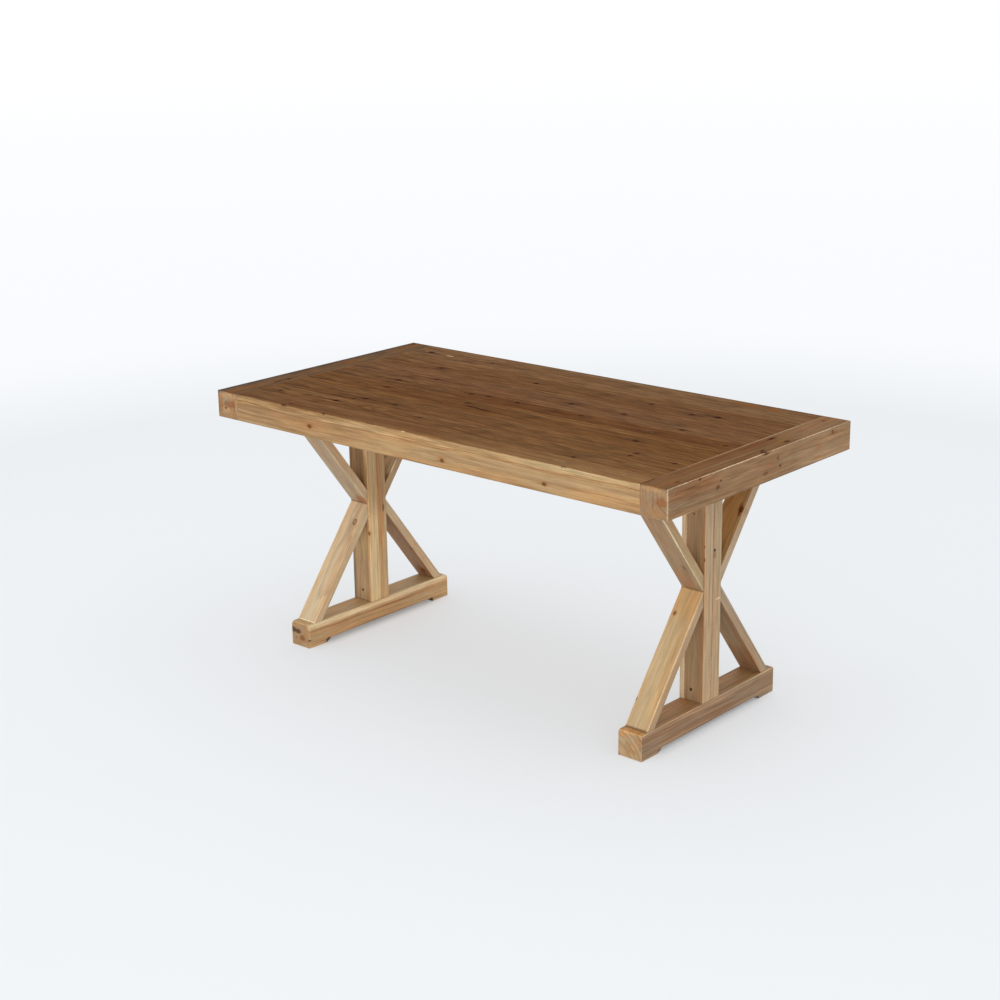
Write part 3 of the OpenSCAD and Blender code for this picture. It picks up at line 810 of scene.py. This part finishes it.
BREADBOARD_ENDS = {
    LEFT: dict(tone="9C7D5D", top="6C5138", pith=(0, 40, -120), spacing=3.0, contrast=1.1, hue=0.9, grain=2.8,
        calm=((-1, 0, 0), 0.4), knots=((-740, -185, 6, "across", 0.8),),
        marks=((-751, -405, 740, 4, 12, 28, 0.8, 0.64, 0.59), (-787, -405, 736, 4, 34, 8, 0.98, 0.83, 0.69),
        (-790, 0, 2000, 8, 16, 0.7, 0.81, 1.0), (-738, 0, 2000, 8, 17, 1.02, 0.91, 0.8),
        (-768, -405, 727, 4, 4, 6, 0.51, 0.35, 0.28), (-758, 88, 60, 8, 26, 1.22, 0.99, 0.76),
        (-772, 345, 60, 8, 20, 1.14, 0.98, 0.81), (-721, 10, 34, 8, 2.2, 1.48, 1.64, 1.8),
        (-744, -225, 22, 8, 7, 0.68, 0.57, 0.5), (-760, -330, 70, 8, 24, 1.1, 0.98, 0.9),
        (-799, -405, 738, 4, 60, 8, 0.78, 0.73, 0.7), (-722, -405, 728, 4, 24, 2.6, 1.24, 1.28, 1.28),
        (-732, -405, 728, 4, 22, 3, 0.79, 0.73, 0.69), (-760, -405, 764, 4, 9, 40, 1.21, 1.21, 1.18),
        (-764, -405, 720, 4, 12, 20, 1.14, 1.18, 1.18)), wear=0.4, wear_gain=1.3),
    RIGHT: dict(tone="997A5C", top="7A5738", pith=(0, 16, 50), spacing=7.0, wander=8, slope=(0, 0.004, 0.01),
        contrast=0.5, hue=0.5, streak=0.35, grain=1.35, knots=((737, 125, 4.5, "across", 0.85),
        (745, 358, 4.5, "across", 0.5), (800, -277, 771, 2.7, "deep", 0.85),
        (800, -190, 748, 2.2, "deep", 0.7), (800, -202, 734, 4, "deep", 0.4),
        (800, 59, 750, 3.5, "deep", 0.12), (800, 70, 727, 3.4, "deep", 0.6),
        (800, 315, 764, 3.6, "deep", 0.4)),
        # The second mark is a painted shadow in the front of the seam beside the planks
        marks=((721, 20, 392, 8, 2.1, 1.9, 2.62, 3.52), (721, -374, 36, 8, 2.6, 0.39, 0.32, 0.26),
        (799.5, -190, 220, 2.1, 2.1, 1.54, 1.77, 2.08), (799.5, -375, 80, 2.1, 2.1, 1.54, 1.77, 2.08),
        (799.5, 20, 500, 2.1, 2.1, 1.99, 2.53, 3.25), (799.5, -310, 697.5, 110, 2.2, 2.2, 1.45, 1.54, 1.58),
        (799.5, 130, 697.5, 600, 3, 3, 0.75, 0.73, 0.73), (760, 330, 210, 1.5, 90, 1.38, 1.54, 1.83),
        (736, -90, 300, 8, 11, 0.96, 0.87, 0.82), (776, -90, 290, 8, 13, 1.11, 1.14, 1.1),
        (766, -150, 130, 8, 4, 1.2, 1.28, 1.34), (780, -60, 90, 8, 4, 0.78, 0.66, 0.58),
        (780, -341, 12, 8, 5, 0.66, 0.42, 0.33), (776, -352, 22, 8, 8, 1.21, 0.99, 0.79),
        (781, 126, 14, 8, 7, 0.39, 0.28, 0.23), (738, 122, 24, 8, 6, 0.53, 0.38, 0.31),
        (741, 40, 60, 8, 9, 0.98, 0.84, 0.74), (770, 120, 40, 8, 10, 1.08, 1.0, 0.73),
        (800, 320, 730, 200, 60, 5, 1.11, 1.12, 1.11), (800, 300, 712, 170, 16, 5, 1.07, 1.14, 1.22),
        (799, -405, 735, 5, 60, 2.6, 1.45, 1.63, 1.81), (800, 4, 721, 15, 6, 5, 0.74, 0.64, 0.64),
        (800, 25, 740, 26, 6, 5, 1.06, 0.86, 0.78), (800, 249, 737, 18, 8, 5, 1.08, 0.87, 0.71),
        (800, 246, 711, 16, 6, 5, 1.1, 0.87, 0.7), (800, 40, 724, 60, 3, 5, 0.93, 0.9, 0.96),
        (800, 320, 760, 30, 5, 5, 1.0, 0.85, 0.76), (781, 16, 14, 6, 5, 0.41, 0.32, 0.28),
        (792, 4, 9, 6, 9, 0.33, 0.27, 0.23), (800, 5, 772, 16, 4, 6, 0.44, 0.36, 0.33),
        (800, -332, 759, 64, 1.6, 4, 0.7, 0.62, 0.56), (800, -300, 752, 120, 30, 5, 0.94, 0.8, 0.72),
        (781, -405, 739, 4, 13, 22, 0.9, 0.73, 0.63), (780, -405, 762, 4, 8, 22, 1.12, 1.16, 1.16),
        (760, -405, 708, 4, 9, 30, 1.1, 1.05, 0.94), (757, -405, 741, 4, 30, 1.4, 0.58, 0.51, 0.48),
        (752, -405, 768, 4, 7, 40, 1.25, 1.18, 1.07)), wear=0.9, wear_gain=1.5),
}
SIDE_RAILS = {
    FRONT: dict(knots=((-418, -405, 729, 5, "across", 0.75), (80, -405, 719, 4.6, "across", 0.75),
        (424, -405, 719, 4.6, "across", 0.75)),
        marks=((-540, -405, 742, 330, 6, 14, 0.85, 0.78, 0.75),
        (-465, -405, 713, 290, 6, 14, 0.93, 0.92, 0.93), (0, -405, 697.5, 2000, 3, 3, 0.78, 0.77, 0.75),
        (78, -405, 722, 18, 6, 9, 1.03, 0.84, 0.68), (420, -405, 720, 26, 6, 7, 1.0, 0.87, 0.74),
        (-416, -405, 730, 20, 6, 9, 1.0, 0.86, 0.73))),
    BACK: {},
}


def add_breadboard_ends():
    for side, look in BREADBOARD_ENDS.items():
        node = f"breadboard_end_{SIDE_NAMES[side]}"
        _, place, size = lay(node, 1)
        inner_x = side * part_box("side_rail_front")[1].x
        edges = (SEAM_R, SEAM_R, OUTER_R, OUTER_R) if side == RIGHT else (OUTER_R, OUTER_R, SEAM_R, SEAM_R)
        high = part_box(node)[1]
        tongue_z = (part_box("plank_1")[0].z + high.z) / 2
        half_groove = TONGUE_T / 2 + FIT
        reach = high.y - GROOVE_STOP + FIT

        def groove(bm):
            near, far = sorted((inner_x - side * MM, inner_x + side * (TONGUE_L + MM)))
            slab(bm, (near, -reach, tongue_z - half_groove), (far, reach, tongue_z + half_groove))

        timber = Timber(place, size, edges, OUTER_R, seed=20 + side)
        material = wood(f"stained_{node}", place, size, wear_width=2.2, end_tone=1.12, **OILED, **look)
        add_piece(f"top_{node}", node, "stained_pine", timber, material, groove, holes_for("rail_dowels"))


def add_side_rails():
    for side, look in SIDE_RAILS.items():
        node = f"side_rail_{DEPTH_NAMES[side]}"
        _, place, size = lay(node, 0)
        edges = [SEAM_R] * 4
        edges[0 if side == FRONT else 1] = OUTER_R
        timber = Timber(place, size, edges, SEAM_R, seed=30 + side)
        material = wood(f"edge_{node}", place, size, "B28D61", pith=(0, -60 * side, 130), spacing=3.2,
                        wander=18, wear=0.7, wear_width=1.6, wear_gain=1.35, **look)
        add_piece(f"top_{node}", node, "edge_pine", timber, material, holes_for("rail_dowels"))


# The pedestals

# Directions of faces. The looks' faces tints paint light and shade on whole faces, lighter or darker as light
# falls on them
TO_FRONT, TO_RIGHT, TO_TOP = (0, -1, 0), (1, 0, 0), (0, 0, 1)
UNDER_BRACE, OVER_BRACE = (0, -0.797, -0.604), (0, -0.797, 0.604)
# A base has the roundings of its two ends before its look
BASES = {
    LEFT: (((2, 13, 2.5, 7), (2, 12, 4, 2)), dict(tone="C8A67C", pith=(0, 120, 60), spacing=3.6, wear=0.7,
        wear_gain=1.25, contrast=0.8, faces=((TO_FRONT, (0.9, 0.82, 0.76)), (TO_TOP, (0.88, 0.88, 0.8))),
        # The first two marks are painted light: a lit strip along the beam's upper near arris
        marks=((-576, 0, 66, 2000, 11, 12, 1.44, 1.67, 1.91), (-576, -170, 64, 130, 12, 12, 1.12, 1.18, 1.25),
        (-576, 0, 44, 2000, 9, 12, 1.0, 0.92, 0.86), (-576, 60, 46, 170, 3, 12, 0.76, 0.6, 0.52),
        (-576, -150, 48, 130, 3, 12, 0.89, 0.78, 0.68), (-576, 0, 22, 2000, 16, 12, 1.0, 0.95, 0.89),
        (-644, -300, 48, 9, 10, 12, 0.32, 0.24, 0.21), (-625, -300, 45, 9, 9, 15, 0.32, 0.24, 0.21),
        (-607, -300, 28, 9, 10, 14, 0.66, 0.48, 0.41), (-633, -300, 24, 9, 3, 4, 0.6, 0.52, 0.47),
        (-577, -300, 25, 9, 4, 7, 0.41, 0.3, 0.23), (-580, -300, 40, 5, 26, 5, 1.2, 1.24, 1.24),
        (-588, -300, 8, 60, 9, 24, 1.19, 1.26, 1.3), (-614, -298, 71, 5, 4, 60, 1.31, 1.36, 1.4),
        # The last three marks are painted shade under the beam: the bottom arris and the relief's slopes
        # darker
        (-576, 0, 12, 215, 5.5, 12, 0.68, 0.65, 0.66), (-576, -222, 5, 12, 11, 24, 0.15, 0.12, 0.11),
        (-576, 222, 5, 12, 11, 24, 0.15, 0.12, 0.11)))),
    RIGHT: (((2, 8, 1.2, 3), (1.5, 3, 1.2, 1)), dict(tone="9F8061", pith=(0, -70, -75), spacing=12.0,
        wear=0.75, wear_gain=1.35, contrast=1.1,
        faces=((TO_FRONT, (1.75, 1.85, 1.75)), (TO_TOP, (1.18, 1.09, 0.85)), (TO_RIGHT, (1.02, 1.07, 1.14))),
        marks=((593, -300, 60, 6, 9, 20, 1.04, 0.9, 0.76), (609, -300, 34, 5, 16, 14, 0.87, 0.79, 0.72),
        (621, -300, 20, 5, 7, 16, 0.9, 0.83, 0.76), (578, -300, 36, 5, 60, 3, 0.86, 0.79, 0.73),
        (610, -291, 72, 16, 5, 60, 1.36, 1.31, 1.17), (651, 0, 71, 2000, 2.2, 2.6, 1.2, 1.32, 1.4),
        (651, -120, 60, 260, 14, 5, 1.08, 1.05, 1.02), (651, 0, 60, 2000, 14, 5, 1.05, 1.06, 1.08),
        # The last three marks are painted shade under the beam: the bottom arris and the relief's slopes
        # darker
        (651, 60, 30, 400, 8, 5, 0.96, 0.89, 0.84), (651, 0, 12, 215, 4.5, 12, 0.64, 0.59, 0.58),
        (651, -223, 5, 8, 7, 20, 0.52, 0.46, 0.42), (651, 223, 5, 8, 7, 20, 0.32, 0.26, 0.23)))),
}
STAVES = {
    (LEFT, FRONT): dict(tone="C3A376", pith=(0, 40, 180), spacing=3.0, wear=0.6,
        faces=((TO_FRONT, (0.67, 0.585, 0.52)),),
        # The first mark is painted light: the lower half of the post made lighter
        marks=((-614, -20, 200, 190, 200, 200, 1.45, 1.61, 1.77),
        (-614, -37.5, 130, 110, 60, 5, 0.89, 0.86, 0.91), (-576.5, -19, 520, 240, 6, 16, 1.05, 1.06, 1.11),
        (-577, -37.5, 292, 11, 7, 9, 0.87, 0.69, 0.55), (-577.5, -37.5, 292, 6.5, 4, 4.5, 0.39, 0.26, 0.2),
        (-577, -38, 520, 240, 16, 3, 1.36, 1.47, 1.59), (-577, -38, 180, 330, 9, 3, 1.27, 1.32, 1.4),
        (-648, -37.5, 120, 110, 13, 5, 0.68, 0.75, 0.87), (-584, -37.5, 650, 150, 13, 5, 1.72, 1.9, 2.12),
        (-650, -37.5, 386, 2000, 10, 5, 0.77, 0.86, 0.95))),
    (LEFT, BACK): dict(tone="B8946A", pith=(0, -160, 40), spacing=3.0, wear=0.5,
        # The first mark is painted light: the lower half of the post made lighter
        marks=((-614, 20, 200, 190, 200, 200, 1.29, 1.36, 1.38),
        (-576.5, 10, 420, 260, 6, 11, 0.96, 0.82, 0.73), (-576.5, 25, 360, 14, 6, 5, 0.51, 0.37, 0.34))),
    (RIGHT, FRONT): dict(tone="BFA07C", pith=(0, 60, 170), spacing=3.0, wear=0.6,
        faces=((TO_FRONT, (0.67, 0.605, 0.53)),),
        marks=((583, -37.5, 386, 2000, 11, 5, 1.9, 2.44, 3.07),
        (614, -37.5, 560, 170, 200, 5, 1.29, 1.34, 1.4), (646, -37.5, 480, 140, 7, 4, 1.0, 0.89, 0.79),
        (648, -37.5, 200, 150, 6, 4, 0.97, 0.89, 0.84), (650, -37.5, 508, 5, 3, 3, 0.6, 0.52, 0.44),
        (650, -37.5, 472, 7, 3, 3, 0.53, 0.44, 0.37), (651.5, 0, 386, 2000, 5, 1.7, 0.55, 0.48, 0.42))),
    (RIGHT, BACK): dict(tone="BB9D79", pith=(0, -150, 90), spacing=3.0, wear=0.5,
        marks=((651.5, 6, 488, 4.5, 5, 5.5, 0.06, 0.04, 0.03),
        (651.5, 6.5, 475, 12, 4, 4.5, 0.59, 0.51, 0.42), (651.5, 0, 386, 2000, 5, 1.5, 0.59, 0.51, 0.46),
        (651.5, 25, 351, 4, 4, 13, 1.47, 1.59, 1.72))),
}
BRACES = {
    (LEFT, FRONT, LOWER): dict(tone="D8BB94", pith=(0, 20, 150), spacing=4.0, wander=26, contrast=0.42,
        streak=0.22, tails=0.0, outline=2.2, wear=0.3, knots=((-597.4, -76.3, 334.9, 6.5, "deep", 0.36),),
        marks=((-579, -150, 236, 300, 2.4, 4, 1.1, 1.11, 1.13), (-614, -275.5, 73, 4, 60, 6, 1.67, 1.9, 2.04),
        (-586, -84, 325, 8, 5, 5, 0.94, 0.84, 0.76))),
    (LEFT, FRONT, UPPER): dict(tone="B39979", pith=(0, 130, 60), spacing=3.2,
        faces=((TO_RIGHT, (1.37, 1.34, 1.31)),),
        marks=((-594, -46, 397, 26, 26, 8, 0.89, 0.6, 0.48), (-579, -150, 535, 300, 2.4, 4, 1.24, 1.24, 1.2),
        (-614, -170, 560, 200, 6, 5, 1.0, 0.89, 0.87))),
    (LEFT, BACK, LOWER): dict(tone="BB976F", pith=(0, -120, 70), spacing=3.4,
        faces=((TO_RIGHT, (1.25, 1.44, 1.7)), (UNDER_BRACE, (0.66, 0.6, 0.6))),
        knots=((-586, 149, 194.6, 4.5, "deep", 0.35), (-607, 221, 99.5, 6, "deep", 0.6)),
        marks=((-579, 160, 230, 400, 4, 8, 1.04, 0.9, 0.79), (-614, 222, 98, 26, 26, 6, 0.89, 0.7, 0.62))),
    (LEFT, BACK, UPPER): dict(tone="AE8B63", pith=(0, 110, -90), spacing=3.4,
        faces=((TO_RIGHT, (1.13, 1.18, 1.3)), (OVER_BRACE, (0.8, 0.72, 0.66))),
        marks=((-600, 76, 481, 40, 30, 8, 1.99, 2.53, 3.16), (-578, 150, 525, 60, 14, 8, 1.1, 0.94, 0.78))),
    (RIGHT, FRONT, LOWER): dict(tone="C9A87B", pith=(0, -30, 190), spacing=3.6, wander=22, contrast=0.6,
        streak=0.35, faces=((TO_RIGHT, (0.8, 0.78, 0.86)),), knots=((591, -82.4, 327, 4.2, "deep", 0.75),),
        # The second mark is painted shade at the brace's foot
        marks=((648, -150, 236, 340, 2.6, 4, 1.36, 1.52, 1.72), (614, -274, 74, 4, 60, 12, 0.6, 0.54, 0.5),
        (595, -150, 236, 400, 16, 6, 1.0, 1.06, 1.14), (581, -229.7, 133, 7, 2.5, 5, 0.37, 0.32, 0.28),
        (614, -60, 356, 60, 60, 5, 1.03, 0.94, 0.82))),
    (RIGHT, FRONT, UPPER): dict(tone="A68665", pith=(0, 60, 150), spacing=3.8, wander=24, contrast=0.75,
        faces=((TO_RIGHT, (1.2, 1.28, 1.22)),), knots=((627, -94.9, 461.5, 6, "deep", 0.3),),
        marks=((600, -60, 415, 50, 26, 6, 1.01, 0.86, 0.76), (618, -230, 640, 24, 22, 5, 1.01, 0.87, 0.85),
        (649, -190, 588, 150, 1.9, 4, 1.72, 1.99, 2.26), (649, -80, 442, 90, 2.2, 4, 1.42, 1.47, 1.42))),
    (RIGHT, BACK, LOWER): dict(tone="AC906E", pith=(0, -110, 80), spacing=3.4,
        faces=((UNDER_BRACE, (0.8, 0.74, 0.7)), (TO_RIGHT, (1.0, 1.01, 1.1))),
        marks=((614, 200, 120, 70, 60, 14, 0.9, 0.76, 0.65),)),
    (RIGHT, BACK, UPPER): dict(tone="B79264", pith=(0, -40, -160), spacing=4.2, contrast=0.8,
        faces=((TO_RIGHT, (1.03, 1.2, 1.66)), (OVER_BRACE, (1.05, 0.99, 0.9))),
        knots=((640, 139.6, 563, 6.5, "deep", 0.85),),
        marks=((614, 130, 560, 300, 80, 9, 0.98, 0.94, 0.87), (640, 133, 555, 12, 5, 6, 0.66, 0.41, 0.37),
        (634, 144, 572, 10, 4, 6, 0.68, 0.49, 0.44))),
}


def add_leg(node, timber, look, size, *makers):
    material = wood(f"leg_{node}", timber.place, size, **{"contrast": 0.7, **look})
    add_piece(f"pedestal_{node}", node, "leg_pine", timber, material, *makers)


def add_base(side, ends, look):
    name = SIDE_NAMES[side]
    node = f"base_{name}"
    middle, place, size = lay(node, 1)
    pad_end = size.x / 2 - PAD_L / MM
    hollow = pad_end - RELIEF_SLOPE / MM

    def relief(along, low, high):
        share = (pad_end - abs(along)) / (pad_end - hollow)
        low.x += RELIEF_H / MM * min(1, max(0, share))

    def head_holes(bm):
        for depth in (FRONT, BACK):
            at = Vector((middle.x + side * depth * POST_HOLE_X, depth * STAVE_T / 2, 0))
            rod(bm, at - Vector((0, 0, MM)), at + Vector((0, 0, POST_HOLE_TOP)), POST_HOLE_R)

    timber = Timber(place, size, (OUTER_R, EDGE_R, EDGE_R, OUTER_R), ends, seed=40 + side,
                    stops=(-pad_end, -hollow, hollow, pad_end), shape=relief)
    add_leg(node, timber, dict(look, end_tone=0.8), size, head_holes, holes_for(f"brace_dowels_{name}"),
            holes_for(f"post_screws_{name}"))


def add_stave(side, depth, look):
    name = SIDE_NAMES[side]
    node = f"post_stave_{DEPTH_NAMES[depth]}_{name}"
    middle, place, size = lay(node, 2)
    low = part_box(node)[0]
    edges = (EDGE_R, EDGE_R, GLUED_R, GLUED_R) if depth == FRONT else (GLUED_R, GLUED_R, EDGE_R, EDGE_R)

    def screw_holes(bm):
        for z in STAVE_SCREW_Z:
            rod(bm, (middle.x, low.y - MM, z), (middle.x, low.y + SCREW_HOLE_DEPTH, z), SCREW_HOLE_R)

    timber = Timber(place, size, edges, STAVE_END_R, seed=50 + side + 5 * depth)
    x, y, _ = middle / MM
    # A painted shadow at the post's foot
    marks = look["marks"] + ((x, y, low.z / MM, *POST_SHADE),)
    makers = [holes_for(f"{kind}_{name}") for kind in ("brace_dowels", "post_screws", "stave_screws")]
    if depth == FRONT:
        # Painted shade in and round the lower screw hole
        marks += ((x, 2 * y, STAVE_SCREW_Z[0] / MM, *HOLE_SHADE),)
        makers.append(screw_holes)
    add_leg(node, timber, dict(look, marks=marks), size, *makers)


def end_plane(place, point, normal):
    """The plane that ends a timber askew, as its distance along at the middle and its leans."""
    local = place.to_3x3().transposed() @ Vector(normal)
    at = local.dot(to_timber(place, point / MM))
    return at / local.x, -local.y / local.x, -local.z / local.x


def add_brace(side, depth, level, look):
    """A brace from the end of the base beam or of the head rail to the waist."""
    name = SIDE_NAMES[side]
    node = f"brace_{LEVEL_NAMES[level]}_{DEPTH_NAMES[depth]}_{name}"
    low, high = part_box(node)
    outer_y = low.y if depth == FRONT else high.y
    foot_z, waist_z = (low.z, high.z) if level == LOWER else (high.z, low.z)
    x = (low.x + high.x) / 2
    foot = Vector((x, outer_y, foot_z))
    waist = Vector((x, depth * STAVE_T, waist_z))
    along = (waist - foot).normalized()
    outward = Vector((0, depth * abs(along.z), level * -abs(along.y)))
    place = frame_at((foot + waist) / 2 - outward * BRACE_T / 2, along, (1, 0, 0))
    size = Vector(((waist - foot).length, high.x - low.x, BRACE_T)) / MM
    cuts = (end_plane(place, foot, (0, 0, 1)), end_plane(place, waist, (0, 1, 0)))
    seed = 60 + side + 3 * depth + 9 * level
    timber = Timber(place, size, (EDGE_R,) * 4, BRACE_END_R, seed=seed, cuts=cuts)
    # Painted shade where the brace meets other wood, and a painted shadow under the top's rim at an upper
    # brace's foot
    foot_shade = JOINT_SHADE if level == LOWER else RIM_SHADE
    marks = look["marks"] + ((*foot / MM, *foot_shade), (*waist / MM, *JOINT_SHADE))
    # Only its long edges are worn, so its ends are taken to be far off
    add_leg(node, timber, dict(look, marks=marks), Vector((4000, size.y, size.z)),
            holes_for(f"brace_dowels_{name}"))


# The pieces that stay as the frame has them

def finish_node(node, material):
    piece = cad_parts[node]
    if piece.material_slots:
        for place in piece.material_slots:
            place.material = material
    else:
        piece.data.materials.append(material)


def finish_hidden():
    for name in ("batten_left", "batten_middle", "batten_right", "head_rail_left", "head_rail_right"):
        _, place, size = lay(name, 1)
        finish_node(name, wood(f"hidden_{name}", place, size, "B18D62", pith=(0, -90, 70), spacing=3.6))
    whole = Vector((2000, 2000, 2000))
    dowel = dict(tone="C9A878", contrast=0.4, spacing=5, wear=0)
    lying = frame_at((0, 0, 0), (1, 0, 0), (0, 1, 0))
    upright = frame_at((0, 0, 0), (0, 0, 1), (1, 0, 0))
    finish_node("rail_dowels", wood("beech_rail_dowels", lying, whole, **dowel))
    beech = wood("beech_brace_dowels", upright, whole, **dowel)
    steel = zinc("zinc_steel", (0.5, 0.5, 0.52, 1), (0.66, 0.67, 0.68, 1))
    old_steel = zinc("zinc_steel_dull", (0.012, 0.011, 0.01, 1), (0.025, 0.022, 0.02, 1))
    for side in SIDE_NAMES.values():
        finish_node(f"brace_dowels_{side}", beech)
        finish_node(f"post_screws_{side}", steel)
        finish_node(f"stave_screws_{side}", old_steel)
    for node in ("batten_screws", "top_bolts", "top_washers", "top_inserts"):
        finish_node(node, steel)


add_camera()
add_planks()
add_breadboard_ends()
add_side_rails()
for side, (ends, look) in BASES.items():
    add_base(side, ends, look)
for (side, depth), look in STAVES.items():
    add_stave(side, depth, look)
for (side, depth, level), look in BRACES.items():
    add_brace(side, depth, level, look)
finish_hidden()
add_floor()
for softbox in SOFTBOXES:
    add_softbox(*softbox)
set_world()
bpy.context.scene.view_settings.view_transform = "Standard"
